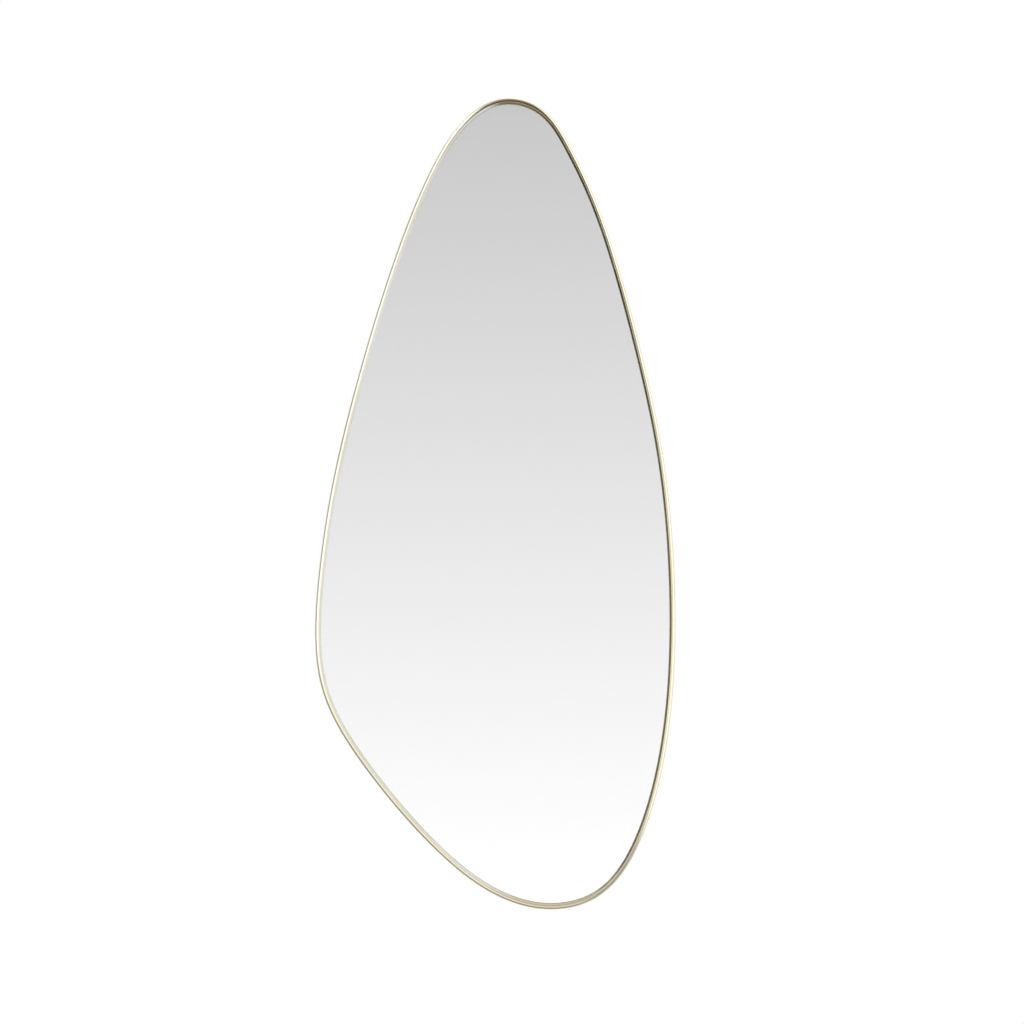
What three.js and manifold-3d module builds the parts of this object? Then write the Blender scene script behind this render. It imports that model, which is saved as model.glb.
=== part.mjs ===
// A wall mirror with an irregular, pebble-like outline in a slim brass rim.
// Millimetres. Seen from the front, +X is right and +Z is up; the mirror faces -Y and the wall
// is the plane y = 0. The origin is on the wall, midway between the two points that it hangs by,
// and straight above or below its centre of gravity.
import * as THREE from 'three';
import Module from 'manifold-3d';
import { mergeVertices } from 'three/addons/utils/BufferGeometryUtils.js';

const wasm = await Module();
wasm.setup();

// Outline: the outside of the rim is a smooth closed curve through these points, given from the
// middle of the mirror, anticlockwise from the top. It is stretched to the width and height.
const outlinePoints = [
  [45, 545], [-73, 480], [-191, 155], [-236, -64], [-242, -217], [-184, -348], [-37, -507],
  [98, -548], [188, -475], [239, -274], [237, -9], [200, 198], [151, 372], [103, 482],
];
const mirrorWidth = 489;
const mirrorHeight = 1100;
const stepsPerSpan = 10;

// Rim: one L-shaped strip, bent round and welded; its lip holds the glass from the front. The
// face rises from the outer wall in a crown to a ridge, then falls in a bevel to the glass.
const rimWall = 2;
const lipWidth = 8;
const lipThickness = 3;
const lipLand = 0.5;
const bevelWidth = 3;
const crownDrop = 3;
const crownSteps = 6;
const rimStandoff = 1.5;

// The layers behind the lip, from front to back.
const gasketThickness = 0.8;
const gasketSetback = 0.8;
const glassThickness = 4;
const glassEdgeClearance = 1;
const filmThickness = 0.3;
const filmSetback = 0.5;
const tapeThickness = 1;
const tapeWidth = 25;
const tapeSpacing = 90;
const tapeMargin = 35;
const boardThickness = 5;

// Retaining brackets, spot-welded to the rim's wall and screwed to the board.
const bracketCount = 8;
const firstBracket = 20;
const bracketWidth = 16;
const bracketThickness = 1.2;
const bracketFoot = 22;
const bracketHoleEdge = 7;
const bracketLegSetback = 1;

// Screws: the same pan head everywhere; each one stops short of the board's front.
const screwRadius = 1.75;
const screwHeadRadius = 3.4;
const screwHeadHeight = 1.8;
const screwHeadRim = 0.9;
const screwCrownRadius = 2;
const screwPoint = 2;
const screwSides = 12;
const boardSkin = 1;

// Strap hangers, each a strap folded round the straight bar of a swinging D-ring.
const hangDrop = 300;
const hangerSpacing = 200;
const strapWidth = 14;
const strapThickness = 1.2;
const strapLength = 46;
const strapTail = 7;
const strapHoleEdge = 7;
const strapHolePitch = 15;
const wireRadius = 1.4;
const wireClearance = 0.4;
const ringSideClearance = 0.6;
const ringCorner = 3;
const ringSide = 2.4;
const recessClearance = 0.4;
const wireSides = 10;
const ringArcSteps = 5;
const strapArcSteps = 8;

// Rubber bumpers that keep the rim off the wall.
const bumperInset = 32;
const bumperBaseRadius = 7.5;
const bumperFaceRadius = 6.5;
const bumperChamfer = 0.5;
const bumperSeat = 3;
const headClearance = 0.6;
const bumperSides = 16;

// Gaps between pieces that meet on a slanted, round or welded face.
const seatGap = 0.3;

// Depths, worked out from the wall forwards.
const boreRadius = wireRadius + wireClearance;
const knuckleRadius = boreRadius + strapThickness;
const rimRear = -rimStandoff;
const boardRear = rimRear - 2 * knuckleRadius - recessClearance;
const boardFront = boardRear - boardThickness;
const filmRear = boardFront - tapeThickness;
const glassRear = filmRear - filmThickness;
const glassFront = glassRear - glassThickness;
const lipRear = glassFront - gasketThickness;
const rimFront = lipRear - lipThickness;

const materials = {
  brass: new THREE.MeshStandardMaterial({ color: 0xd9bf86, roughness: 0.25, metalness: 1 }),
  foam: new THREE.MeshStandardMaterial({ color: 0xe2e0d2, roughness: 0.9, metalness: 0 }),
  glass: new THREE.MeshStandardMaterial({ color: 0xe6efec, roughness: 0.02, metalness: 0 }),
  silver: new THREE.MeshStandardMaterial({ color: 0xe8eaea, roughness: 0.03, metalness: 1 }),
  tape: new THREE.MeshStandardMaterial({ color: 0xf0eee6, roughness: 0.9, metalness: 0 }),
  board: new THREE.MeshStandardMaterial({ color: 0x3a3632, roughness: 0.85, metalness: 0 }),
  zinc: new THREE.MeshStandardMaterial({ color: 0xb9bcc0, roughness: 0.4, metalness: 1 }),
  nickel: new THREE.MeshStandardMaterial({ color: 0xcfcdc6, roughness: 0.22, metalness: 1 }),
  rubber: new THREE.MeshStandardMaterial({ color: 0x1f1f20, roughness: 0.8, metalness: 0 }),
};

const mirror = new THREE.Group();

function addPart(name, geometry, material, parent = mirror) {
  const mesh = new THREE.Mesh(geometry, material);
  mesh.name = name;
  parent.add(mesh);
  return mesh;
}

// ---- Outline -------------------------------------------------------------------------------

// Bezier spans of the smooth closed curve through the points: the tangent at each point is the
// one that keeps the curvature continuous there, found by repeated averaging.
const averagingRounds = 40;

function smoothLoop(points) {
  const count = points.length;
  const next = (i) => (i + 1) % count;
  const last = (i) => (i + count - 1) % count;
  const chords = points.map((_, i) => points[next(i)].clone().sub(points[last(i)]).multiplyScalar(3));
  const tangents = chords.map((chord) => chord.clone().divideScalar(6));
  for (let round = 0; round < averagingRounds; round += 1) {
    for (let i = 0; i < count; i += 1) {
      const neighbours = tangents[last(i)].clone().add(tangents[next(i)]);
      tangents[i] = chords[i].clone().sub(neighbours).divideScalar(4);
    }
  }
  const loop = new THREE.CurvePath();
  for (let i = 0; i < count; i += 1) {
    const leave = points[i].clone().addScaledVector(tangents[i], 1 / 3);
    const arrive = points[next(i)].clone().addScaledVector(tangents[next(i)], -1 / 3);
    loop.add(new THREE.CubicBezierCurve(points[i], leave, arrive, points[next(i)]));
  }
  return loop;
}

function centroidX(points) {
  let moment = 0;
  points.forEach((a, i) => {
    const b = points[(i + 1) % points.length];
    moment += (a.x + b.x) * (a.x * b.y - b.x * a.y);
  });
  return moment / 6 / THREE.ShapeUtils.area(points);
}

// The drawn points, stretched to the mirror's size and placed so that the hanging points are at
// height zero and the centre of gravity is at x = 0. In these 2-D points y is the height.
function placedPoints() {
  const drawn = outlinePoints.map(([x, z]) => new THREE.Vector2(x, z));
  const sampled = smoothLoop(drawn).getPoints(stepsPerSpan);
  const box = new THREE.Box2().setFromPoints(sampled);
  const size = box.getSize(new THREE.Vector2());
  const stretch = new THREE.Vector2(mirrorWidth / size.x, mirrorHeight / size.y);
  const shift = new THREE.Vector2(-centroidX(sampled) * stretch.x, hangDrop - box.max.y * stretch.y);
  return drawn.map((point) => point.multiply(stretch).add(shift));
}

const outline = smoothLoop(placedPoints());

const inwardOf = (tangent) => new THREE.Vector2(-tangent.y, tangent.x);

// Stations round the outline, each with its place and its inward direction.
const outlineStations = outline.curves.flatMap((span) =>
  Array.from({ length: stepsPerSpan }, (_, step) => {
    const t = step / stepsPerSpan;
    return { place: span.getPoint(t), inward: inwardOf(span.getTangent(t)) };
  }));

const insetLoop = (inset) => outlineStations.map(({ place, inward }) =>
  place.clone().addScaledVector(inward, inset));

// A point at a distance along the faceted outline from its top, moved inwards.
const facetedOutline = new THREE.Shape(insetLoop(0));
facetedOutline.closePath();
const outlineLength = facetedOutline.getLength();

function alongOutline(distance, inset) {
  const share = THREE.MathUtils.euclideanModulo(distance / outlineLength, 1);
  const inward = inwardOf(facetedOutline.getTangent(share));
  return facetedOutline.getPoint(share).addScaledVector(inward, inset);
}

// ---- Solids --------------------------------------------------------------------------------

// A flat plate between two depths, from a loop in the plane of the wall.
function plate(loop, front, rear) {
  const settings = { depth: 1, steps: 1, bevelEnabled: false };
  const geometry = new THREE.ExtrudeGeometry(new THREE.Shape(loop), settings);
  const position = geometry.attributes.position;
  for (let i = 0; i < position.count; i += 1) {
    const depth = position.getZ(i) > 0.5 ? front : rear;
    position.setXYZ(i, position.getX(i), depth, position.getY(i));
  }
  return geometry;
}

// A closed ring: a section of [inset, depth] points carried round a loop of stations. The
// section runs from the rear round the outside to the front.
function sweptRing(stations, section) {
  const vertices = stations.flatMap(({ place, inward }) => section.flatMap(([inset, depth]) =>
    [place.x + inward.x * inset, depth, place.y + inward.y * inset]));
  const triangles = [];
  for (let i = 0; i < stations.length; i += 1) {
    const here = i * section.length;
    const there = ((i + 1) % stations.length) * section.length;
    for (let j = 0; j < section.length; j += 1) {
      const k = (j + 1) % section.length;
      triangles.push(here + j, there + j, there + k, here + j, there + k, here + k);
    }
  }
  const geometry = new THREE.BufferGeometry();
  geometry.setAttribute('position', new THREE.Float32BufferAttribute(vertices, 3));
  geometry.setIndex(triangles);
  geometry.computeVertexNormals();
  return geometry;
}

function toSolid(geometry) {
  const bare = geometry.clone();
  bare.deleteAttribute('normal');
  bare.deleteAttribute('uv');
  const merged = mergeVertices(bare);
  const vertProperties = new Float32Array(merged.attributes.position.array);
  const triVerts = new Uint32Array(merged.index.array);
  return new wasm.Manifold(new wasm.Mesh({ numProp: 3, vertProperties, triVerts }));
}

// The geometry less each round hole, a { x, z, radius, front, rear } along Y.
function drilled(geometry, holes) {
  let solid = toSolid(geometry);
  for (const { x, z, radius, front, rear } of holes) {
    const drill = new THREE.CylinderGeometry(radius, radius, rear - front, screwSides);
    drill.translate(x, (rear + front) / 2, z);
    solid = solid.subtract(toSolid(drill));
  }
  const { vertProperties, triVerts } = solid.getMesh();
  const result = new THREE.BufferGeometry();
  result.setAttribute('position', new THREE.BufferAttribute(vertProperties, 3));
  result.setIndex(new THREE.BufferAttribute(triVerts, 1));
  result.computeVertexNormals();
  return result;
}

// ---- Rim, glass and board ------------------------------------------------------------------

// The crown is a quarter ellipse from the outer wall to the ridge.
const ridgeInset = lipWidth - bevelWidth;
const crownArc = Array.from({ length: crownSteps + 1 }, (_, step) => {
  const angle = (step / crownSteps) * Math.PI / 2;
  return [ridgeInset * (1 - Math.cos(angle)), rimFront + crownDrop * (1 - Math.sin(angle))];
});

const rimSection = [
  [0, rimRear],
  ...crownArc,
  [lipWidth, lipRear - lipLand],
  [lipWidth, lipRear],
  [rimWall, lipRear],
  [rimWall, rimRear],
];
addPart('rim', sweptRing(outlineStations, rimSection), materials.brass);

const glassInset = rimWall + glassEdgeClearance;
const gasketEdge = lipWidth - gasketSetback;
const gasketSection = [
  [glassInset, glassFront],
  [glassInset, lipRear],
  [gasketEdge, lipRear],
  [gasketEdge, glassFront],
];
addPart('lip_gasket', sweptRing(outlineStations, gasketSection), materials.foam);
addPart('mirror_glass', plate(insetLoop(glassInset), glassFront, glassRear), materials.glass);
addPart('silvered_film', plate(insetLoop(glassInset + filmSetback), glassRear, filmRear), materials.silver);

// Heights at which an upright line at x crosses the board's edge, lowest and highest.
function boardHeights(x) {
  const edge = insetLoop(glassInset);
  const heights = edge.flatMap((a, i) => {
    const b = edge[(i + 1) % edge.length];
    const crosses = (a.x - x) * (b.x - x) <= 0 && a.x !== b.x;
    return crosses ? [a.y + (b.y - a.y) * (x - a.x) / (b.x - a.x)] : [];
  });
  return [Math.min(...heights), Math.max(...heights)];
}

// Double-sided foam tape that bonds the film to the board, in three upright strips.
const tapeNames = ['left', 'centre', 'right'];
tapeNames.forEach((name, i) => {
  const x = (i - (tapeNames.length - 1) / 2) * tapeSpacing;
  const left = x - tapeWidth / 2;
  const right = x + tapeWidth / 2;
  const [leftLow, leftHigh] = boardHeights(left);
  const [rightLow, rightHigh] = boardHeights(right);
  const low = Math.max(leftLow, rightLow) + tapeMargin;
  const high = Math.min(leftHigh, rightHigh) - tapeMargin;
  const strip = [[left, low], [right, low], [right, high], [left, high]]
    .map(([across, height]) => new THREE.Vector2(across, height));
  addPart(`bonding_tape_${name}`, plate(strip, filmRear, boardFront), materials.tape);
});

// ---- Screws --------------------------------------------------------------------------------

const screwBite = boardThickness - boardSkin;
const screwHoleRadius = screwRadius + seatGap;
const pilotHoles = [];

// A screw whose head sits on a face at the given depth, with its pilot hole in the board.
function addScrew(name, x, z, face) {
  const length = face - boardRear + screwBite;
  const profile = [
    [0, -length],
    [screwRadius, screwPoint - length],
    [screwRadius, 0],
    [screwHeadRadius, 0],
    [screwHeadRadius, screwHeadRim],
    [screwCrownRadius, screwHeadHeight],
    [0, screwHeadHeight],
  ].map(([radius, along]) => new THREE.Vector2(radius, along));
  const screw = addPart(name, new THREE.LatheGeometry(profile, screwSides), materials.zinc);
  screw.position.set(x, face, z);
  const front = boardRear - screwBite - seatGap;
  pilotHoles.push({ x, z, radius: screwHoleRadius, front, rear: boardRear + seatGap });
}

// ---- Retaining brackets --------------------------------------------------------------------

const bracketHole = bracketFoot - bracketHoleEdge;
const bracketProfile = [
  [0, boardRear],
  [bracketFoot, boardRear],
  [bracketFoot, boardRear + bracketThickness],
  [bracketThickness, boardRear + bracketThickness],
  [bracketThickness, rimRear - bracketLegSetback],
  [0, rimRear - bracketLegSetback],
].map(([x, y]) => new THREE.Vector2(x, y));
const bracketBar = new THREE.ExtrudeGeometry(new THREE.Shape(bracketProfile), {
  depth: bracketWidth, steps: 1, bevelEnabled: false,
});
bracketBar.translate(0, 0, -bracketWidth / 2);
const bracketGeometry = drilled(bracketBar, [{
  x: bracketHole,
  z: 0,
  radius: screwHoleRadius,
  front: boardRear - seatGap,
  rear: boardRear + bracketThickness + seatGap,
}]);

// Each bracket's leg is a flat chord across the rim's curved inner wall.
const bracketPitch = outlineLength / bracketCount;
for (let i = 0; i < bracketCount; i += 1) {
  const distance = firstBracket + i * bracketPitch;
  const start = alongOutline(distance - bracketWidth / 2, rimWall);
  const end = alongOutline(distance + bracketWidth / 2, rimWall);
  const inward = inwardOf(end.clone().sub(start).normalize());
  const corner = start.clone().add(end).divideScalar(2).addScaledVector(inward, seatGap);
  const bracket = addPart(`bracket_${i + 1}`, bracketGeometry.clone(), materials.zinc);
  bracket.position.set(corner.x, 0, corner.y);
  bracket.rotation.y = Math.atan2(-inward.y, inward.x);
  const hole = corner.clone().addScaledVector(inward, bracketHole);
  addScrew(`bracket_screw_${i + 1}`, hole.x, hole.y, boardRear + bracketThickness);
}

// ---- Wall bumpers --------------------------------------------------------------------------

const bumperRecess = screwHeadRadius + headClearance;
const bumperProfile = [
  [screwHoleRadius, boardRear],
  [bumperBaseRadius, boardRear],
  [bumperFaceRadius, -bumperChamfer],
  [bumperFaceRadius - bumperChamfer, 0],
  [bumperRecess, 0],
  [bumperRecess, boardRear + bumperSeat],
  [screwHoleRadius, boardRear + bumperSeat],
  [screwHoleRadius, boardRear],
].map(([radius, along]) => new THREE.Vector2(radius, along));

const bumperCount = bracketCount / 2;
for (let i = 0; i < bumperCount; i += 1) {
  const distance = firstBracket + (2 * i + 0.5) * bracketPitch;
  const centre = alongOutline(distance, bumperInset);
  const ring = new THREE.LatheGeometry(bumperProfile, bumperSides);
  const bumper = addPart(`wall_bumper_${i + 1}`, ring, materials.rubber);
  bumper.position.set(centre.x, 0, centre.y);
  addScrew(`bumper_screw_${i + 1}`, centre.x, centre.y, boardRear + bumperSeat);
}

// ---- Hangers -------------------------------------------------------------------------------

// The D-ring's wire: a bar in the strap's fold, two rounded corners, two sides and a half circle.
const barHalf = strapWidth / 2 + ringSideClearance;
const ringHalf = barHalf + ringCorner;
const sideTop = ringCorner + ringSide;
const ringRise = sideTop + ringHalf;
const ringPath = new THREE.Path();
ringPath.moveTo(-barHalf, 0);
ringPath.lineTo(barHalf, 0);
ringPath.absarc(barHalf, ringCorner, ringCorner, -Math.PI / 2, 0);
ringPath.lineTo(ringHalf, sideTop);
ringPath.absarc(0, sideTop, ringHalf, 0, Math.PI);
ringPath.lineTo(-ringHalf, ringCorner);
ringPath.absarc(-barHalf, ringCorner, ringCorner, Math.PI, Math.PI * 1.5);

// Stations round a loop of points, with repeated points left out.
function stationsOf(points) {
  const samePlace = 0.001;
  const places = points.filter((point, i) =>
    point.distanceTo(points[(i + 1) % points.length]) > samePlace);
  return places.map((place, i) => {
    const before = places[(i + places.length - 1) % places.length];
    const after = places[(i + 1) % places.length];
    return { place, inward: inwardOf(after.clone().sub(before).normalize()) };
  });
}

const wireSection = Array.from({ length: wireSides }, (_, side) => {
  const angle = (side / wireSides) * Math.PI * 2;
  return [-wireRadius * Math.cos(angle), -wireRadius * Math.sin(angle)];
});
const ringGeometry = sweptRing(stationsOf(ringPath.getPoints(ringArcSteps)), wireSection);

// The strap from the side: y is the depth from the knuckle's centre, and z the height.
const strapRear = 2 * strapThickness - knuckleRadius;
const tailDirection = Math.atan2(-strapTail, strapRear);
const tailTangent = tailDirection + Math.acos(knuckleRadius / Math.hypot(strapTail, strapRear));
const strapSide = new THREE.Shape();
strapSide.moveTo(-knuckleRadius, -strapLength);
strapSide.lineTo(-knuckleRadius, 0);
strapSide.absarc(0, 0, knuckleRadius, Math.PI, tailTangent, true);
strapSide.lineTo(strapRear, -strapTail);
strapSide.lineTo(strapRear, -strapLength);
strapSide.holes.push(new THREE.Path().absarc(0, 0, boreRadius, 0, Math.PI * 2));

const strapBar = new THREE.ExtrudeGeometry(strapSide, {
  depth: strapWidth, steps: 1, bevelEnabled: false, curveSegments: strapArcSteps,
});
strapBar.applyMatrix4(new THREE.Matrix4().set(
  0, 0, 1, -strapWidth / 2,
  1, 0, 0, 0,
  0, 1, 0, 0,
  0, 0, 0, 1,
));
const strapHoles = [strapHoleEdge, strapHoleEdge + strapHolePitch].map((rise) => ({
  x: 0,
  z: rise - strapLength,
  radius: screwHoleRadius,
  front: -knuckleRadius - seatGap,
  rear: strapRear + seatGap,
}));
const strapGeometry = drilled(strapBar, strapHoles);

// At rest each ring stands up and leans forward until its top rests on the board. The wall's
// hook bears on the inside of that top, at height zero.
const ringLean = Math.asin((knuckleRadius - wireRadius - seatGap) / ringRise);
const knuckleHeight = -(ringRise - wireRadius) * Math.cos(ringLean);
const knuckleDepth = boardRear + knuckleRadius;

[['left', -1], ['right', 1]].forEach(([side, sign]) => {
  const hanger = new THREE.Group();
  hanger.position.set(sign * hangerSpacing / 2, knuckleDepth, knuckleHeight);
  mirror.add(hanger);
  addPart(`hanger_strap_${side}`, strapGeometry.clone(), materials.nickel, hanger);
  const ring = addPart(`hanger_ring_${side}`, ringGeometry.clone(), materials.nickel, hanger);
  ring.rotation.x = ringLean;
  ['lower', 'upper'].forEach((level, i) => {
    const z = knuckleHeight + strapHoles[i].z;
    addScrew(`hanger_screw_${side}_${level}`, hanger.position.x, z, knuckleDepth + strapRear);
  });
});

// ---- Backing board -------------------------------------------------------------------------

const boardPlate = plate(insetLoop(glassInset), boardFront, boardRear);
addPart('backing_board', drilled(boardPlate, pilotHoles), materials.board);

export default mirror;
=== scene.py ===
"""An irregular wall mirror in a slim brass rim: the looks of every piece, in metres.

The pieces come in the order in which the mirror is put together, then the studio and the camera.
"""

import math

import bmesh
import bpy
from mathutils import Matrix, Vector
from mathutils.geometry import interpolate_bezier


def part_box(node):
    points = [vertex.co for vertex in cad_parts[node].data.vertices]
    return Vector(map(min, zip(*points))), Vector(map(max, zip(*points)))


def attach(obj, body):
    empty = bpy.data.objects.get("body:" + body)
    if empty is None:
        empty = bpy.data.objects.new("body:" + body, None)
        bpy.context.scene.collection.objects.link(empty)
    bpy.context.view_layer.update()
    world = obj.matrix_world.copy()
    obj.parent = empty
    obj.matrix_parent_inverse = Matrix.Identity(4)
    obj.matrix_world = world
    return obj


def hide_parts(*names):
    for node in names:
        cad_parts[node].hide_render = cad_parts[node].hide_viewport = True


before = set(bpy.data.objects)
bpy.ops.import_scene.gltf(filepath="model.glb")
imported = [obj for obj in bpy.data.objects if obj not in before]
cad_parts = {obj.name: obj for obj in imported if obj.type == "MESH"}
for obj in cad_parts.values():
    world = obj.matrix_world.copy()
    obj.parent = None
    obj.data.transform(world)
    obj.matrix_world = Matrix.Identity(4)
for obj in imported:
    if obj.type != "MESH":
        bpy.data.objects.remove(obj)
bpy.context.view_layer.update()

# ---- Rim -----------------------------------------------------------------------------------
# One strip of pale brass, rolled to an L, bent round to the outline, welded into a ring and
# ground flush. Its face rises in a crown to a ridge, then falls in a bevel to the glass; it is
# brushed along its length to a satin and lacquered.
mm = 0.001
rim_wall = 2 * mm
lip_width = 8 * mm
lip_thickness = 3 * mm
lip_land = 0.5 * mm
bevel_width = 3 * mm
crown_drop = 3 * mm
wall_ease = 0.3 * mm
inner_ease = 0.4 * mm
ridge_ease = 0.2 * mm
lip_ease = 0.15 * mm
crown_steps = 16
steps_per_span = 70
bright_brass = (0.86, 0.80, 0.61, 1)
dull_brass = (0.82, 0.75, 0.55, 1)
rim_low, rim_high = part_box("rim")

# The outline in millimetres from the mirror's middle, across and up, anticlockwise from the top.
outline_points = [
    (45, 545), (-73, 480), (-191, 155), (-236, -64), (-242, -217), (-184, -348), (-37, -507),
    (98, -548), (188, -475), (239, -274), (237, -9), (200, 198), (151, 372), (103, 482),
]


def bent_outline(points, steps):
    """Points round the closed curve through these ones whose bend changes without a jump."""
    count = len(points)
    chords = [3 * (points[(i + 1) % count] - points[i - 1]) for i in range(count)]
    tangents = [chord / 6 for chord in chords]
    averaging_rounds = 40
    for _ in range(averaging_rounds):
        for i in range(count):
            tangents[i] = (chords[i] - tangents[i - 1] - tangents[(i + 1) % count]) / 4
    bent = []
    for i in range(count):
        here = points[i]
        there = points[(i + 1) % count]
        leave = here + tangents[i] / 3
        arrive = there - tangents[(i + 1) % count] / 3
        bent += interpolate_bezier(here, leave, arrive, there, steps + 1)[:-1]
    return bent


def fitted(points, low, high):
    """The points stretched across and up to fill a box of the frame."""
    across = [x for x, _ in points]
    up = [z for _, z in points]
    wide = (high.x - low.x) / (max(across) - min(across))
    tall = (high.z - low.z) / (max(up) - min(up))
    return [
        (low.x + (x - min(across)) * wide, low.z + (z - min(up)) * tall) for x, z in points
    ]


drawn = [Vector(point) for point in outline_points]
outline = fitted(bent_outline(drawn, steps_per_span), rim_low, rim_high)


def eased(corners):
    """The outline of a section of (x, y, ease) corners, each broken by a small curve.

    A point just beyond each end of the curve keeps the shading of the flats flat.
    """
    beyond_curve = 1.4
    curve_points = 4
    points = []
    for i, (x, y, ease) in enumerate(corners):
        corner = Vector((x, y))
        if ease == 0:
            points.append(corner)
            continue
        before = Vector(corners[i - 1][:2]) - corner
        after = Vector(corners[(i + 1) % len(corners)][:2]) - corner
        start = corner + before.normalized() * ease
        end = corner + after.normalized() * ease
        points.append(corner + before.normalized() * beyond_curve * ease)
        handles = (start + corner) / 2, (corner + end) / 2
        points += interpolate_bezier(start, *handles, end, curve_points)
        points.append(corner + after.normalized() * beyond_curve * ease)
    return points


def lengths_round(points):
    """How far each point of a closed loop lies along it, then the loop's whole length."""
    reach = [0]
    for i, point in enumerate(points):
        step = Vector(points[(i + 1) % len(points)]) - Vector(point)
        reach.append(reach[-1] + step.length)
    return reach


def swept(path, section):
    """A section carried round a closed upright path, given as (x, height) points.

    The section's points are its inset from the path and its height towards the viewer. Its UV
    map holds the distance along the path and the distance round the section, in metres.
    """
    swept_curves = []
    for points in (path, section):
        curve = bpy.data.curves.new("sweep", "CURVE")
        curve.dimensions = "2D"
        curve.fill_mode = "NONE"
        spline = curve.splines.new("POLY")
        spline.points.add(len(points) - 1)
        for point, (x, y) in zip(spline.points, points):
            point.co = (x, y, 0, 1)
        spline.use_cyclic_u = True
        swept_curves.append(bpy.data.objects.new("sweep", curve))
        bpy.context.scene.collection.objects.link(swept_curves[-1])
    rail, profile = swept_curves
    rail.data.bevel_mode = "OBJECT"
    rail.data.bevel_object = profile
    ready = rail.evaluated_get(bpy.context.evaluated_depsgraph_get())
    mesh = bpy.data.meshes.new_from_object(ready)
    shape = bmesh.new()
    shape.from_mesh(mesh)
    for curve in swept_curves:
        bpy.data.objects.remove(curve)
    along = lengths_round(path)[-1]
    across = lengths_round(section)
    uv = shape.loops.layers.uv.verify()
    for face in shape.faces:
        for loop in face.loops:
            u, v = loop[uv].uv
            loop[uv].uv = (u * along, across[round((1 - v) * len(section))])
    bmesh.ops.rotate(shape, verts=shape.verts, matrix=Matrix.Rotation(math.pi / 2, 3, "X"))
    return shape


def made_piece(name, shape, finish, crease=30):
    """The piece made from a bmesh, smooth but for edges that turn by more than the crease."""
    bmesh.ops.recalc_face_normals(shape, faces=shape.faces)
    mesh = bpy.data.meshes.new(name)
    shape.to_mesh(mesh)
    shape.free()
    mesh.shade_smooth()
    mesh.set_sharp_from_angle(angle=math.radians(crease))
    mesh.materials.append(finish.owner)
    piece = bpy.data.objects.new(name, mesh)
    bpy.context.scene.collection.objects.link(piece)
    return piece


class Value:
    """A socket in a finish. Arithmetic on it adds Math nodes to that finish."""

    def __init__(self, finish, socket):
        self.finish = finish
        self.socket = socket

    def maths(self, operation, first, second):
        made = self.finish.node("Math", {"operation": operation}, {0: first, 1: second})
        return made["Value"]

    def __add__(self, other):
        return self.maths("ADD", self, other)

    def __sub__(self, other):
        return self.maths("SUBTRACT", self, other)

    def __rsub__(self, other):
        return self.maths("SUBTRACT", other, self)

    def __mul__(self, other):
        return self.maths("MULTIPLY", self, other)

    def __neg__(self):
        return self.maths("MULTIPLY", self, -1)

    __radd__ = __add__
    __rmul__ = __mul__


class Finish:
    """The nodes of one material, or of the world."""

    def __init__(self, owner):
        owner.use_nodes = True
        self.owner = owner
        self.nodes = owner.node_tree.nodes
        self.links = owner.node_tree.links
        self.nodes.clear()

    def node(self, kind, settings, inputs):
        """Adds a node: its settings first, then the values or links of its sockets."""
        made = self.nodes.new("ShaderNode" + kind)
        for name, setting in settings.items():
            setattr(made, name, setting)
        sockets = {socket.name: socket for socket in made.inputs if socket.enabled}
        for name, value in inputs.items():
            socket = made.inputs[name] if isinstance(name, int) else sockets[name]
            if isinstance(value, Value):
                self.links.new(value.socket, socket)
            else:
                socket.default_value = value
        return {socket.name: Value(self, socket) for socket in made.outputs if socket.enabled}

    def coordinates(self, kind, scale=(1, 1, 1), turn=(0, 0, 0)):
        """Object or UV coordinates, stretched by a scale."""
        plain = self.node("TexCoord", {}, {})[kind]
        stretch = {"Vector": plain, "Scale": scale, "Rotation": turn}
        return self.node("Mapping", {}, stretch)["Vector"]

    def noise(self, where, scale, detail=2.0, roughness=0.5):
        """Cloudy variation about 0.5, with scale patches to a metre."""
        settings = {"Vector": where, "Scale": scale, "Detail": detail, "Roughness": roughness}
        return self.node("TexNoise", {}, settings)["Fac"]

    def between(self, value, low, high):
        """0 up to low, 1 from high, and a smooth change from one to the other."""
        limits = {"Value": value, "From Min": low, "From Max": high}
        return self.node("MapRange", {"interpolation_type": "SMOOTHSTEP"}, limits)["Result"]

    def mixed(self, share, first, second, blend="MIX"):
        """The first colour, blended with the second more as the share goes from 0 to 1."""
        colours = {"Factor": share, "A": first, "B": second}
        return self.node("Mix", {"data_type": "RGBA", "blend_type": blend}, colours)["Result"]

    def bump(self, height, depth):
        """The normal of a surface raised by this height times a depth in metres."""
        return self.node("Bump", {}, {"Height": height, "Distance": depth})["Normal"]

    def surface(self, inputs):
        """Ends the material in one surface with these inputs."""
        shader = self.node("BsdfPrincipled", {}, inputs)["BSDF"]
        self.node("OutputMaterial", {}, {"Surface": shader})


brass = Finish(bpy.data.materials.new("satin_brass"))
strokes = brass.coordinates("UV", scale=(25, 2600, 1))
grain = brass.noise(strokes, 1, detail=3)
fine_grain = brass.noise(brass.coordinates("UV", scale=(120, 9000, 1)), 1)
tarnish = brass.noise(brass.coordinates("Object"), 9, detail=4)
handled = brass.noise(brass.coordinates("Object"), 45, detail=3)
brass.surface({
    "Base Color": brass.mixed(brass.between(tarnish, 0.35, 0.7), bright_brass, dull_brass),
    "Metallic": 1.0,
    "Roughness": 0.10 + 0.10 * grain + 0.05 * brass.between(handled, 0.45, 0.7),
    "Normal": brass.bump(grain * 0.6 + fine_grain * 0.4, 0.004 * mm),
})

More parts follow.
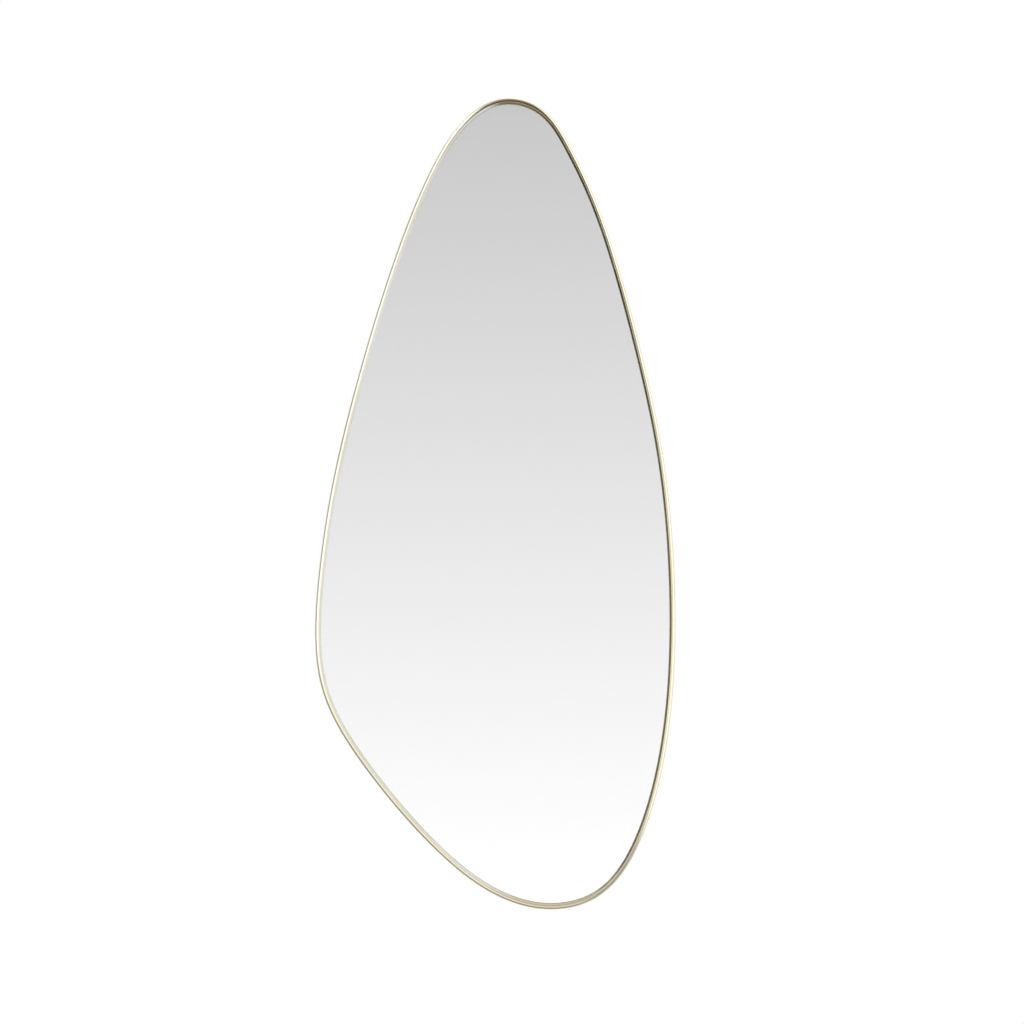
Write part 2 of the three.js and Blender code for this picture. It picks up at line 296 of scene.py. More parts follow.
rim_front = -rim_low.y
rim_rear = -rim_high.y
lip_rear = rim_front - lip_thickness
ridge_inset = lip_width - bevel_width
crown = []
for step in range(crown_steps):
    angle = step / crown_steps * math.pi / 2
    crown_height = rim_front - crown_drop * (1 - math.sin(angle))
    crown.append((ridge_inset * (1 - math.cos(angle)), crown_height, 0))
rim_section = eased([
    (0, rim_rear, wall_ease),
    *crown,
    (ridge_inset, rim_front, ridge_ease),
    (lip_width, lip_rear + lip_land, lip_ease),
    (lip_width, lip_rear, lip_ease),
    (rim_wall, lip_rear, inner_ease),
    (rim_wall, rim_rear, wall_ease),
])
rim = made_piece("brass_rim", swept(outline, rim_section), brass)
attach(rim, "mirror")
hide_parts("rim")

# ---- Lip gasket ----------------------------------------------------------------------------
# A strip of off-white closed-cell foam, stuck inside the lip, that the glass is pressed
# against. It stops short of the lip's edge, so only its reflection shows.
gasket_setback = 0.8 * mm
glass_inset = 3 * mm
cell_shade = (0.74, 0.73, 0.66, 1)
cell_light = (0.86, 0.85, 0.78, 1)
gasket_low, gasket_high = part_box("lip_gasket")

foam = Finish(bpy.data.materials.new("gasket_foam"))
cells = foam.noise(foam.coordinates("Object"), 1800, detail=3)
foam.surface({
    "Base Color": foam.mixed(foam.between(cells, 0.35, 0.65), cell_shade, cell_light),
    "Roughness": 0.85 + 0.1 * cells,
    "Normal": foam.bump(cells, 0.08 * mm),
})

gasket_edge = lip_width - gasket_setback
gasket_squeeze = 0.15 * mm
gasket_ease = 0.1 * mm
gasket_section = eased([
    (glass_inset, -gasket_high.y, gasket_ease),
    (glass_inset, -gasket_low.y, gasket_ease),
    (gasket_edge - gasket_squeeze, -gasket_low.y, gasket_ease),
    (gasket_edge, -(gasket_low.y + gasket_high.y) / 2, gasket_ease),
    (gasket_edge - gasket_squeeze, -gasket_high.y, gasket_ease),
])
gasket = made_piece("foam_gasket", swept(outline, gasket_section), foam)
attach(gasket, "mirror")
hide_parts("lip_gasket")

# ---- Mirror glass --------------------------------------------------------------------------
# Clear float glass, cut to the outline and dropped in behind the lip. Its edge is ground, with
# a small arris on both sides, and its faces are left as they came off the float.
glass_low, glass_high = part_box("mirror_glass")
arris = 0.5 * mm
optical_gap = 0.03 * mm
face_skin = 0.01 * mm
face_blend = 0.05 * mm


def cut_sheet(inset, front, rear, edge):
    """A sheet cut to the outline less an inset, between two depths, with both edges eased."""
    shape = bmesh.new()
    blank = shape.faces.new([shape.verts.new((x, rear, z)) for x, z in outline])
    waste = bmesh.ops.inset_region(shape, faces=[blank], thickness=inset, use_even_offset=True)
    bmesh.ops.delete(shape, geom=waste["faces"], context="FACES")
    raised = bmesh.ops.extrude_face_region(shape, geom=shape.faces[:], use_keep_orig=True)
    lifted = [item for item in raised["geom"] if isinstance(item, bmesh.types.BMVert)]
    bmesh.ops.translate(shape, verts=lifted, vec=(0, front - rear, 0))
    bmesh.ops.recalc_face_normals(shape, faces=shape.faces)
    square = math.radians(60)
    corners = [item for item in shape.edges if item.calc_face_angle(0) > square]
    bmesh.ops.bevel(
        shape, geom=corners, offset=edge, segments=2, profile=0.5, affect="EDGES", material=-1
    )
    return shape


glass = Finish(bpy.data.materials.new("float_glass"))
depth = glass.node("SeparateXYZ", {}, {"Vector": glass.coordinates("Object")})["Y"]
front_face = glass_low.y + optical_gap
rear_face = glass_high.y - optical_gap
off_front = glass.between(depth, front_face + face_skin, front_face + face_blend)
off_rear = 1 - glass.between(depth, rear_face - face_blend, rear_face - face_skin)
ground_edge = off_front * off_rear
glass.surface({
    "Base Color": glass.mixed(ground_edge, (0.996, 1.0, 0.997, 1), (0.72, 0.88, 0.82, 1)),
    "Roughness": 0.35 * ground_edge,
    "Transmission Weight": 1.0,
    "IOR": 1.52,
})
pane = made_piece(
    "glass_pane", cut_sheet(glass_inset, front_face, rear_face, arris), glass, crease=10
)
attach(pane, "mirror")
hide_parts("mirror_glass")

# ---- Silvering -----------------------------------------------------------------------------
# Silver laid on the back of the glass, under copper, grey paint and a plastic safety film. It
# is one thin sheet: a mirror in front, and the film's faint diagonal weave behind.
silver_depth = 0.1 * mm
paint_depth = 0.2 * mm
film_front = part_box("silvered_film")[0].y

silver = Finish(bpy.data.materials.new("silvered_film"))
place = silver.coordinates("Object")
depth = silver.node("SeparateXYZ", {}, {"Vector": place})["Y"]
behind = silver.between(depth, film_front + silver_depth, film_front + paint_depth)
cloud = silver.noise(place, 3, detail=3)
weave = silver.noise(silver.coordinates("Object", scale=(300, 300, 2400), turn=(0, 0.7, 0)), 1)
silvered = silver.mixed(cloud, (0.976, 0.978, 0.974, 1), (0.980, 0.982, 0.980, 1))
filmed = silver.mixed(weave, (0.34, 0.35, 0.36, 1), (0.44, 0.45, 0.46, 1))
silver.surface({
    "Base Color": silver.mixed(behind, silvered, filmed),
    "Metallic": 1 - behind,
    "Roughness": behind * (0.45 + 0.2 * weave),
})
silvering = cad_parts["silvered_film"]
silvering.data.materials.clear()
silvering.data.materials.append(silver.owner)

# ---- Bonding tape --------------------------------------------------------------------------
# Three strips of white double-sided foam tape that hold the film to the board.
tape = Finish(bpy.data.materials.new("bonding_tape"))
tape_cells = tape.noise(tape.coordinates("Object"), 1400, detail=3)
tape.surface({
    "Base Color": tape.mixed(tape_cells, (0.80, 0.79, 0.74, 1), (0.92, 0.91, 0.87, 1)),
    "Roughness": 0.8 + 0.15 * tape_cells,
    "Normal": tape.bump(tape_cells, 0.06 * mm),
})
for side in ("left", "centre", "right"):
    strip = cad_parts[f"bonding_tape_{side}"]
    strip.data.materials.clear()
    strip.data.materials.append(tape.owner)

# ---- Backing board -------------------------------------------------------------------------
# Fibreboard cut to the outline, with its back sealed in matt charcoal paint laid on by roller,
# which leaves a fine stipple; rubbed a little lighter where it was handled.
paint = Finish(bpy.data.materials.new("painted_fibreboard"))
stipple = paint.noise(paint.coordinates("Object"), 700, detail=3, roughness=0.6)
roller = paint.noise(paint.coordinates("Object", scale=(14, 14, 2)), 1, detail=3)
wear = paint.noise(paint.coordinates("Object"), 6, detail=5, roughness=0.6)
rubbed = paint.between(wear, 0.55, 0.75)
coat = paint.mixed(roller, (0.036, 0.034, 0.033, 1), (0.058, 0.055, 0.052, 1))
paint.surface({
    "Base Color": paint.mixed(rubbed * 0.35, coat, (0.12, 0.115, 0.108, 1)),
    "Roughness": 0.62 + 0.25 * stipple - 0.12 * rubbed,
    "Normal": paint.bump(stipple, 0.12 * mm),
})
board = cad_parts["backing_board"]
board.data.materials.clear()
board.data.materials.append(paint.owner)

# ---- Retaining brackets --------------------------------------------------------------------
# Angle brackets of 1.2 mm zinc-plated sheet, bent over a small radius and punched. The leg is
# fixed to the rim's wall by two short weld beads; the foot holds the board down.
bracket_thickness = 1.2 * mm
bracket_width = 16 * mm
bracket_foot = 22 * mm
bracket_hole_edge = 7 * mm
bracket_hole_radius = 2.05 * mm
bend_radius = 2.2 * mm
foot_corner = 3 * mm
weld_length = 2.6 * mm
weld_radius = 0.8 * mm
weld_setback = 1.7 * mm
sheared_edge = 0.15 * mm


def zinc_finish(name, tone):
    """Zinc plate: a cool grey with cloudy, faintly straw and blue patches and fine scratches."""
    zinc = Finish(bpy.data.materials.new(name))
    bloom = zinc.noise(zinc.coordinates("Object"), 160, detail=4, roughness=0.6)
    scratch = zinc.noise(zinc.coordinates("Object", scale=(600, 600, 6000), turn=(0, 0.5, 0)), 1)
    straw = (0.72 * tone, 0.70 * tone, 0.62 * tone, 1)
    blue = (0.58 * tone, 0.62 * tone, 0.68 * tone, 1)
    zinc.surface({
        "Base Color": zinc.mixed(zinc.between(bloom, 0.35, 0.65), straw, blue),
        "Metallic": 1.0,
        "Roughness": 0.26 + 0.16 * bloom + 0.08 * scratch,
        "Normal": zinc.bump(bloom * 0.5 + scratch * 0.5, 0.03 * mm),
    })
    return zinc


def removed(shape, cutter):
    """The shape less the cutter, as a punch or a drill leaves it."""
    blocks = []
    for part in (shape, cutter):
        bmesh.ops.recalc_face_normals(part, faces=part.faces)
        mesh = bpy.data.meshes.new("block")
        part.to_mesh(mesh)
        part.free()
        blocks.append(bpy.data.objects.new("block", mesh))
        bpy.context.scene.collection.objects.link(blocks[-1])
    work, tool = blocks
    cut = work.modifiers.new("cut", "BOOLEAN")
    cut.operation = "DIFFERENCE"
    cut.solver = "EXACT"
    cut.object = tool
    ready = work.evaluated_get(bpy.context.evaluated_depsgraph_get())
    left = bmesh.new()
    left.from_mesh(bpy.data.meshes.new_from_object(ready))
    for block in blocks:
        bpy.data.objects.remove(block)
    return left


def drills(places, radius, low, high):
    """Round cutters along the depth, from low to high, at (x, z) places."""
    shape = bmesh.new()
    upright = Matrix.Rotation(math.pi / 2, 4, "X")
    for x, z in places:
        centre = Matrix.Translation((x, (low + high) / 2, z))
        bmesh.ops.create_cone(
            shape, cap_ends=True, segments=40, radius1=radius, radius2=radius,
            depth=high - low, matrix=centre @ upright,
        )
    return shape


def bar(profile, width):
    """A bar with this (x, y) section, as wide along Z and centred on it."""
    shape = bmesh.new()
    end = shape.faces.new([shape.verts.new((x, y, -width / 2)) for x, y in profile])
    raised = bmesh.ops.extrude_face_region(shape, geom=[end], use_keep_orig=True)
    lifted = [item for item in raised["geom"] if isinstance(item, bmesh.types.BMVert)]
    bmesh.ops.translate(shape, verts=lifted, vec=(0, 0, width))
    bmesh.ops.recalc_face_normals(shape, faces=shape.faces)
    return shape


def rounded(shape, radius, middles, segments=8):
    """Rounds the edges whose middles lie at these places."""
    reach = 0.02 * mm
    chosen = [
        edge for edge in shape.edges
        if any(((edge.verts[0].co + edge.verts[1].co) / 2 - Vector(middle)).length < reach
               for middle in middles)
    ]
    bmesh.ops.bevel(
        shape, geom=chosen, offset=radius, segments=segments, profile=0.5, affect="EDGES",
        material=-1,
    )


def softened(shape, ease, sharp=50):
    """Breaks every edge that turns by more than this many degrees."""
    chosen = [edge for edge in shape.edges if edge.calc_face_angle(0) > math.radians(sharp)]
    bmesh.ops.bevel(
        shape, geom=chosen, offset=ease, segments=2, profile=0.5, affect="EDGES", material=-1,
        clamp_overlap=True,
    )


def turned(profile, sides=48):
    """A solid turned from (radius, depth) points, round an upright line along Y."""
    shape = bmesh.new()
    line = [shape.verts.new((radius, y, 0)) for radius, y in profile]
    edges = [shape.edges.new(pair) for pair in zip(line, line[1:])]
    bmesh.ops.spin(
        shape, geom=line + edges, cent=(0, 0, 0), axis=(0, 1, 0), angle=math.tau, steps=sides,
        use_merge=True,
    )
    bmesh.ops.remove_doubles(shape, verts=shape.verts, dist=0.001 * mm)
    bmesh.ops.recalc_face_normals(shape, faces=shape.faces)
    return shape


def joined(shape, other):
    """Both shapes as one mesh."""
    mesh = bpy.data.meshes.new("other")
    other.to_mesh(mesh)
    other.free()
    shape.from_mesh(mesh)
    return shape


def set_in_place(shape, right, up, origin):
    """Turns the shape's X towards right and its Z towards up, and moves it to the origin."""
    rear = Vector(up).cross(Vector(right))
    turn = Matrix((right, rear, up)).transposed()
    bmesh.ops.transform(shape, matrix=turn.to_4x4(), verts=shape.verts)
    bmesh.ops.translate(shape, verts=shape.verts, vec=origin)


def weld_bead(across, middle):
    """A bead of three small pools, run along one side of a bracket's leg about this depth."""
    pools = 3
    steps = 4
    waist = 0.75
    points = []
    for step in range(pools * steps + 1):
        along = step / (pools * steps)
        pool = abs(math.sin(along * pools * math.pi)) * (1 - waist) + waist
        swell = weld_radius * pool * max(0, math.sin(math.pi * along)) ** 0.5
        points.append((swell, (along - 0.5) * weld_length))
    bead = turned(points, sides=16)
    bmesh.ops.translate(bead, verts=bead.verts, vec=(0, middle, across * bracket_width / 2))
    return bead


bracket_zinc = zinc_finish("bracket_zinc", 1.0)
for number in range(1, 9):
    bracket_low, bracket_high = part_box(f"bracket_{number}")
    screw_low, screw_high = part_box(f"bracket_screw_{number}")
    foot_end = (screw_low + screw_high) / 2
    inward = foot_end - (bracket_low + bracket_high) / 2
    inward.y = 0
    inward.normalize()
    corner = foot_end - inward * (bracket_foot - bracket_hole_edge)
    front = bracket_low.y
    rear = bracket_high.y
    inner = front + bracket_thickness
    shape = bar([
        (0, front), (bracket_foot, front), (bracket_foot, inner), (bracket_thickness, inner),
        (bracket_thickness, rear), (0, rear),
    ], bracket_width)
    half = bracket_width / 2
    foot_middle = (front + inner) / 2
    rounded(shape, bend_radius, [(0, front, 0)])
    rounded(shape, bend_radius - bracket_thickness, [(bracket_thickness, inner, 0)])
    rounded(shape, foot_corner, [(bracket_foot, foot_middle, side) for side in (-half, half)])
    softened(shape, sheared_edge)
    hole = bracket_foot - bracket_hole_edge
    shape = removed(shape, drills([(hole, 0)], bracket_hole_radius, front - mm, inner + mm))
    for across in (-1, 1):
        shape = joined(shape, weld_bead(across, rear - weld_setback))
    set_in_place(shape, inward, Vector((-inward.z, 0, inward.x)), (corner.x, 0, corner.z))
    bracket = made_piece(f"angle_bracket_{number}", shape, bracket_zinc)
    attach(bracket, "mirror")
    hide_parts(f"bracket_{number}")

# ---- Screws --------------------------------------------------------------------------------
# Zinc-plated pan-head screws with a cross recess and a ringed shank: eight hold the brackets to
# the board, four the bumpers and four the hangers. Each one was driven to its own angle.
head_height = 1.8 * mm
head_radius = 3.4 * mm
head_skirt = 0.5 * mm
shank_root = 1.35 * mm
shank_crest = 1.75 * mm
tip_radius = 1.08 * mm
tip_height = 1.2 * mm
thread_pitch = 0.8 * mm
recess_span = 1.9 * mm
recess_blade = 0.45 * mm
recess_depth = 1.15 * mm
recess_taper = 0.55
thread_side = 0.1 * mm
unthreaded = 0.3 * mm
head_edge = 0.15 * mm
turn_step = 37
cross_repeat = 90
screw_zinc = zinc_finish("screw_zinc", 0.95)


def pan_head_screw(name, turn):
    """A screw that fills the named node's box, its recess turned by this many degrees."""
    low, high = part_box(name)
    seat = high.y - head_height
    ring = low.y + tip_height
    profile = [(0, low.y), (tip_radius, ring)]
    while ring + thread_pitch < seat - unthreaded:
        profile += [(shank_root, ring + thread_side), (shank_crest, ring + thread_pitch / 2)]
        ring += thread_pitch
    profile += [(shank_root, ring + thread_side), (shank_root, seat)]
    dome_steps = 10
    profile += [(head_radius - head_edge, seat), (head_radius, seat + head_edge)]
    for step in range(dome_steps + 1):
        angle = step / dome_steps * math.pi / 2
        rise = (head_height - head_skirt) * math.sin(angle)
        profile.append((head_radius * math.cos(angle), seat + head_skirt + rise))
    profile[-1] = (0, high.y)
    blade = recess_blade
    arm = recess_span
    cross = bar([
        (arm, -blade), (arm, blade), (blade, blade), (blade, arm), (-blade, arm),
        (-blade, blade), (-arm, blade), (-arm, -blade), (-blade, -blade), (-blade, -arm),
        (blade, -arm), (blade, -blade),
    ], 2 * recess_depth)
    deep_end = [vert for vert in cross.verts if vert.co.z > 0]
    bmesh.ops.scale(cross, verts=deep_end, vec=(recess_taper, recess_taper, 1))
    bmesh.ops.rotate(cross, verts=cross.verts, matrix=Matrix.Rotation(math.pi / 2, 3, "X"))
    bmesh.ops.translate(cross, verts=cross.verts, vec=(0, high.y, 0))
    shape = removed(turned(profile, sides=36), cross)
    spun = Matrix.Rotation(math.radians(turn), 3, "Y")
    bmesh.ops.rotate(shape, verts=shape.verts, matrix=spun)
    centre = (low + high) / 2
    bmesh.ops.translate(shape, verts=shape.verts, vec=(centre.x, 0, centre.z))
    screw = made_piece(f"pan_head_{name}", shape, screw_zinc)
    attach(screw, "mirror")
    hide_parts(name)


screw_names = [f"bracket_screw_{number}" for number in range(1, 9)]
screw_names += [f"bumper_screw_{number}" for number in range(1, 5)]
screw_names += [
    f"hanger_screw_{side}_{level}" for side in ("left", "right") for level in ("lower", "upper")
]
for count, name in enumerate(screw_names):
    pan_head_screw(name, turn_step * count % cross_repeat)

# ---- Wall bumpers --------------------------------------------------------------------------
# Round bumpers of moulded black rubber. Each is screwed to the board through its sunk middle
# and keeps the rim a little way off the wall.
bumper_base = 7.5 * mm
bumper_face = 6.5 * mm
bumper_bore = 2.05 * mm
bumper_recess = 4 * mm
bumper_seat = 3 * mm
groove_rise = 2 * mm
groove_half = 0.4 * mm
groove_depth = 0.35 * mm
groove_lip = 0.05 * mm
base_rounding = 0.3 * mm
face_rounding = 0.6 * mm
recess_rounding = 0.4 * mm
fine_rounding = 0.1 * mm

rubber = Finish(bpy.data.materials.new("bumper_rubber"))
mould = rubber.noise(rubber.coordinates("Object"), 900, detail=4, roughness=0.6)
dust = rubber.between(rubber.noise(rubber.coordinates("Object"), 120, detail=3), 0.5, 0.75)
rubber.surface({
    "Base Color": rubber.mixed(dust * 0.5, (0.018, 0.018, 0.019, 1), (0.075, 0.073, 0.07, 1)),
    "Roughness": 0.62 + 0.2 * mould + 0.1 * dust,
    "Normal": rubber.bump(mould, 0.05 * mm),
})
for number in range(1, 5):
    low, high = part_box(f"wall_bumper_{number}")
    slope = (bumper_base - bumper_face) / (high.y - low.y)
    groove = low.y + groove_rise
    groove_radius = bumper_base - slope * groove_rise
    profile = eased([
        (bumper_bore, low.y, fine_rounding),
        (bumper_base, low.y, base_rounding),
        (groove_radius + groove_lip, groove - groove_half, fine_rounding),
        (groove_radius - groove_depth, groove, fine_rounding),
        (groove_radius - groove_lip, groove + groove_half, fine_rounding),
        (bumper_face, high.y, face_rounding),
        (bumper_recess, high.y, recess_rounding),
        (bumper_recess, low.y + bumper_seat, base_rounding),
        (bumper_bore, low.y + bumper_seat, fine_rounding),
    ])
    shape = turned(profile + profile[:1])
    centre = (low + high) / 2
    bmesh.ops.translate(shape, verts=shape.verts, vec=(centre.x, 0, centre.z))
    bumper = made_piece(f"rubber_bumper_{number}", shape, rubber, crease=40)
    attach(bumper, "mirror")
    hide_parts(f"wall_bumper_{number}")

# ---- Hangers -------------------------------------------------------------------------------
# Two hangers of nickel-plated steel: a punched strap folded double round the straight bar of a
# swinging D-ring, which is bent from round wire. Two screws hold each strap to the board.
strap_width = 14 * mm
strap_thickness = 1.15 * mm
strap_layer = 1.2 * mm
strap_length = 46 * mm
strap_tail = 7 * mm
strap_holes = (7 * mm, 22 * mm)
strap_corner = 3.5 * mm
knuckle_radius = 3 * mm
wire_radius = 1.4 * mm
ring_side_gap = 0.6 * mm
ring_corner = 3 * mm
ring_side = 2.4 * mm
ring_rest_gap = 0.3 * mm
bar_steps = 4
clear_nickel = (0.80, 0.78, 0.73, 1)
hazy_nickel = (0.66, 0.64, 0.59, 1)

nickel = Finish(bpy.data.materials.new("nickel_plate"))
haze = nickel.noise(nickel.coordinates("Object"), 220, detail=4, roughness=0.6)
rub = nickel.noise(nickel.coordinates("Object", scale=(2500, 900, 500)), 1, detail=2)
nickel.surface({
    "Base Color": nickel.mixed(nickel.between(haze, 0.35, 0.7), clear_nickel, hazy_nickel),
    "Metallic": 1.0,
    "Roughness": 0.12 + 0.14 * haze + 0.08 * rub,
    "Normal": nickel.bump(rub * 0.4 + haze * 0.6, 0.02 * mm),
})


def folded_strap():
    """The strap from its knuckle, folded and drilled, with the knuckle's centre at the origin."""
    rear = 2 * strap_layer - knuckle_radius
    reach = math.hypot(strap_tail, rear)
    tail_turn = math.atan2(-strap_tail, rear) + math.acos(knuckle_radius / reach)
    bend_steps = 24
    path = [(-knuckle_radius, -strap_length), (-knuckle_radius, 0)]
    for step in range(1, bend_steps + 1):
        angle = math.pi + (tail_turn - math.pi) * step / bend_steps
        path.append((knuckle_radius * math.cos(angle), knuckle_radius * math.sin(angle)))
    path += [(rear, -strap_tail), (rear, -strap_length)]
    shape = bmesh.new()
    line = [shape.verts.new((-strap_width / 2, y, z)) for y, z in path]
    edges = [shape.edges.new(pair) for pair in zip(line, line[1:])]
    raised = bmesh.ops.extrude_edge_only(shape, edges=edges)["geom"]
    moved = [item for item in raised if isinstance(item, bmesh.types.BMVert)]
    bmesh.ops.translate(shape, verts=moved, vec=(strap_width, 0, 0))
    bmesh.ops.recalc_face_normals(shape, faces=shape.faces)
    bmesh.ops.solidify(shape, geom=shape.faces[:], thickness=strap_thickness)
    layers = (-knuckle_radius + strap_thickness / 2, rear - strap_thickness / 2)
    ends = [(side * strap_width / 2, y, -strap_length) for side in (-1, 1) for y in layers]
    rounded(shape, strap_corner, ends)
    softened(shape, sheared_edge)
    holes = [(0, rise - strap_length) for rise in strap_holes]
    return removed(shape, drills(holes, bumper_bore, -knuckle_radius - mm, rear + mm))


def arc(centre, radius, start, end, steps):
    """Points on an arc, from one angle to another in degrees."""
    turns = [math.radians(start + (end - start) * step / steps) for step in range(steps + 1)]
    return [
        (centre[0] + radius * math.cos(turn), centre[1] + radius * math.sin(turn))
        for turn in turns
    ]


bar_half = strap_width / 2 + ring_side_gap
ring_half = bar_half + ring_corner
side_top = ring_corner + ring_side
ring_rise = side_top + ring_half
# The last corner stops short of the bar's first point, and the sweep closes the loop.
ring_path = (
    [(step * bar_half / bar_steps, 0) for step in range(-bar_steps, bar_steps)]
    + arc((bar_half, ring_corner), ring_corner, -90, 0, 8)
    + arc((0, side_top), ring_half, 0, 180, 40)
    + arc((-bar_half, ring_corner), ring_corner, 180, 262, 7)
)
lean = math.asin((knuckle_radius - wire_radius - ring_rest_gap) / ring_rise)
knuckle_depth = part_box("backing_board")[1].y + knuckle_radius
for side in ("left", "right"):
    strap_low, strap_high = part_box(f"hanger_strap_{side}")
    strap_middle = (strap_low.x + strap_high.x) / 2
    knuckle = Vector((strap_middle, knuckle_depth, strap_high.z - knuckle_radius))

    strap = folded_strap()
    bmesh.ops.translate(strap, verts=strap.verts, vec=knuckle)
    strap = made_piece(f"folded_strap_{side}", strap, nickel)
    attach(strap, "mirror")
    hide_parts(f"hanger_strap_{side}")

    wire = swept(ring_path, arc((0, 0), wire_radius, 0, 345, 23))
    bmesh.ops.rotate(wire, verts=wire.verts, matrix=Matrix.Rotation(lean, 3, "X"))
    bmesh.ops.translate(wire, verts=wire.verts, vec=knuckle)
    wire = made_piece(f"d_ring_{side}", wire, nickel, crease=60)
    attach(wire, f"ring_{side}")
    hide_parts(f"hanger_ring_{side}")

# ---- Studio --------------------------------------------------------------------------------
# A pale floor well below the mirror and one broad soft lamp overhead. The metal and the glass
# reflect a room that nothing else shows: in front a wall, grey above and bright below, with
# lamps at both sides and darker cards, flags close to the mirror's plane, and a wall behind.
floor_height = -1.3
floor_radius = 1.7
floor_shift = -0.7
floor_tone = (0.92, 0.92, 0.92, 1)
floor_centre = (0, floor_shift, floor_height)

pale = Finish(bpy.data.materials.new("pale_floor"))
spot = pale.coordinates("Object")
apart = pale.node("VectorMath", {"operation": "DISTANCE"}, {0: spot, 1: floor_centre})["Value"]
fade = pale.between(apart, 0.5 * floor_radius, 0.98 * floor_radius)
painted = pale.node("BsdfPrincipled", {}, {"Base Color": floor_tone, "Roughness": 0.9})["BSDF"]
clear = pale.node("BsdfTransparent", {}, {"Color": (1, 1, 1, 1)})["BSDF"]
faded = pale.node("MixShader", {}, {0: fade, 1: painted, 2: clear})["Shader"]
pale.node("OutputMaterial", {}, {"Surface": faded})
disc = bmesh.new()
bmesh.ops.create_circle(disc, cap_ends=True, segments=96, radius=floor_radius)
bmesh.ops.translate(disc, verts=disc.verts, vec=floor_centre)
floor = made_piece("studio_floor", disc, pale)
floor.visible_glossy = False

lamp = bpy.data.lights.new("overhead_lamp", "AREA")
lamp.shape = "DISK"
lamp.size = 2.4
lamp.energy = 26
overhead = bpy.data.objects.new("overhead_lamp", lamp)
overhead.location = (-0.5, -0.6, 2.2)
overhead.rotation_euler = (math.radians(12), 0, 0)
overhead.visible_glossy = False
overhead.visible_transmission = False
bpy.context.scene.collection.objects.link(overhead)

world = bpy.data.worlds.new("studio")
bpy.context.scene.world = world
room = Finish(world)
towards = room.node("SeparateXYZ", {}, {"Vector": room.node("TexCoord", {}, {})["Generated"]})
right = towards["X"]
up = towards["Z"]
left = -right
down = -up
facing = -towards["Y"]


def past(angle):
    """How far a ray points to the anticlockwise side of a line through the middle.

    The line's angle is in degrees, anticlockwise from the right. A ray straight ahead gives 0.
    """
    turn = math.radians(angle)
    return math.cos(turn) * up - math.sin(turn) * right


def tinted(level, tint):
    """A colour with this varying level, tinted by fixed shares of red, green and blue."""
    shares = {name: level * share for name, share in zip(("Red", "Green", "Blue"), tint)}
    return room.node("CombineColor", {}, shares)["Color"]


# The mirror sees only the wall, within 0.07 of straight ahead. The crown of the rim sees what is
# further off on its own side: above, below, right, or left, where cooler daylight comes in.
wall = tinted(1.317 - 0.812 * room.between(up, -0.19, 0.14), (1, 1, 1))
with_beam = room.mixed(room.between(up, 0.066, 0.09), wall, (0.07, 0.056, 0.032, 1))
ceiling = room.mixed(room.between(left, 0.05, 0.6), (0.36, 0.275, 0.175, 1), (1.1, 1.1, 1.1, 1))
with_ceiling = room.mixed(room.between(up, 0.4, 0.88), with_beam, ceiling)
with_skirting = room.mixed(room.between(down, 0.072, 0.11), with_ceiling, (0.72, 0.70, 0.72, 1))
with_floor = room.mixed(room.between(down, 0.3, 0.5), with_skirting, (0.95, 0.94, 0.98, 1))
low_right = room.between(past(285), 0.03, 0.12) * room.between(-past(335), 0.0, 0.04)
with_card = room.mixed(low_right, with_floor, (0.42, 0.42, 0.36, 1))
at_left = room.between(past(114), 0.06, 0.12) * room.between(left, 0.06, 0.16)
left_lamp = tinted(1.5 - 0.38 * room.between(down, 0.03, 0.15), (1, 1.03, 1.03))
with_left_lamp = room.mixed(at_left, with_card, left_lamp)
at_right = room.between(right, 0.34, 0.52) * room.between(past(335), -0.045, 0.054)
with_lamps = room.mixed(at_right, with_left_lamp, (1.3, 1.34, 1.33, 1))
cool_side = room.between(past(118), 0.06, 0.25) * room.between(past(25), 0.06, 0.25)
low_left = room.between(past(146), -0.12, 0.12) * (1 - room.between(facing, 0.58, 0.88))
dark_card = room.mixed(cool_side, (0.37, 0.375, 0.34, 1), (0.46, 0.475, 0.47, 1))
with_dark_card = room.mixed(low_left, with_lamps, dark_card)
with_daylight = room.mixed(cool_side, with_dark_card, (1.0, 1.04, 1.2, 1), blend="MULTIPLY")

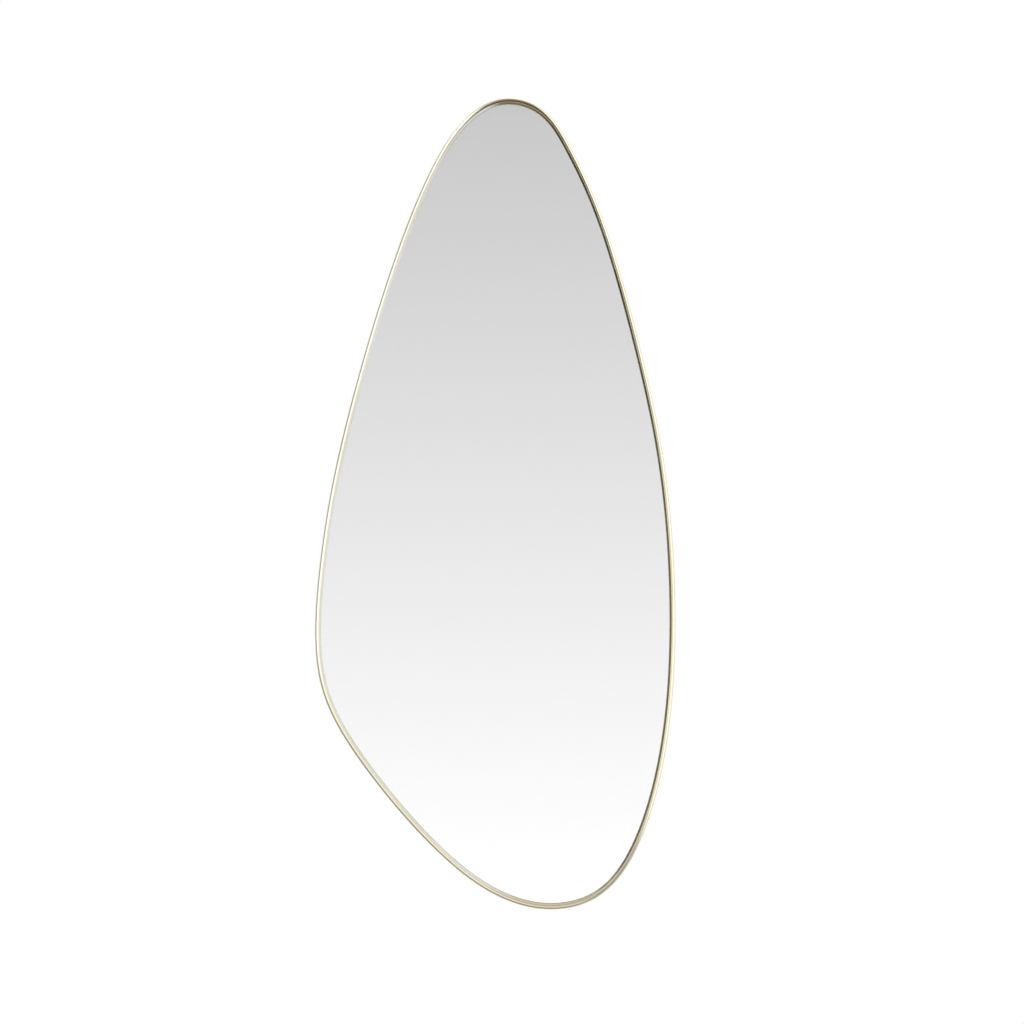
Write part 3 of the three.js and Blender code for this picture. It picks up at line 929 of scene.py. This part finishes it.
# The bevel sees flags that stand close to the mirror's plane, on the far side of the mirror.
left_flag = room.mixed(
    room.between(up, -0.3, 0.0), (0.035, 0.031, 0.018, 1), (0.16, 0.14, 0.095, 1)
)
with_top_flag = room.mixed(room.between(past(-15), 0.35, 1.1), left_flag, (0.82, 0.76, 0.66, 1))
with_low_flag = room.mixed(room.between(down, 0.35, 0.95), with_top_flag, (0.20, 0.17, 0.115, 1))
right_flag = room.mixed(
    room.between(down, 0.0, 0.3), (0.82, 0.87, 1.0, 1), (0.82, 0.89, 1.12, 1)
)
flags = room.mixed(room.between(right, 0.15, 0.5), with_low_flag, right_flag)
flagged = room.between(facing, 0.08, 0.15) * (1 - room.between(facing, 0.29, 0.36))
front_half = room.mixed(flagged, with_daylight, flags)

# From behind, the metal sees a wall that is pale above and grey below, with a grey doorway.
rear_wall = room.mixed(room.between(up, -0.7, 0.5), (0.36, 0.36, 0.37, 1), (1.05, 1.05, 1.05, 1))
doorway = room.between(right, -0.6, -0.4) * (1 - room.between(right, -0.2, 0.0))
with_doorway = room.mixed(doorway, rear_wall, (0.30, 0.30, 0.31, 1))
rear_half = room.mixed(room.between(facing, -0.5, -0.2), with_doorway, (1.06, 1.07, 1.06, 1))
seen_in_metal = room.mixed(room.between(facing, -0.12, 0.1), rear_half, front_half)

rays = room.node("LightPath", {}, {})
glossy_or_clear = {0: rays["Is Glossy Ray"], 1: rays["Is Transmission Ray"]}
mirrored = room.node("Math", {"operation": "MAXIMUM"}, glossy_or_clear)["Value"]
soft_light = room.mixed(rays["Is Camera Ray"], (0.78, 0.78, 0.78, 1), (1, 1, 1, 1))
light = room.mixed(mirrored, soft_light, seen_in_metal)
sky = room.node("Background", {}, {"Color": light, "Strength": 1.0})["Background"]
room.node("OutputWorld", {}, {"Surface": sky})

# ---- Camera --------------------------------------------------------------------------------
# Straight in front of the mirror, a little below and to the right of its middle, and far off.
camera_distance = 8.0
frame_width = 1.3887
frame_plane = -0.02
right_of_middle = 0.0228
below_middle = 0.0111
middle = (rim_low + rim_high) / 2
view = bpy.data.cameras.new("camera")
view.sensor_width = 36
view.lens = view.sensor_width * camera_distance / frame_width
camera = bpy.data.objects.new("camera", view)
camera.location = (
    middle.x + right_of_middle, frame_plane - camera_distance, middle.z - below_middle
)
camera.rotation_euler = (math.pi / 2, 0, 0)
bpy.context.scene.collection.objects.link(camera)
bpy.context.scene.camera = camera
bpy.context.scene.view_settings.view_transform = "Standard"
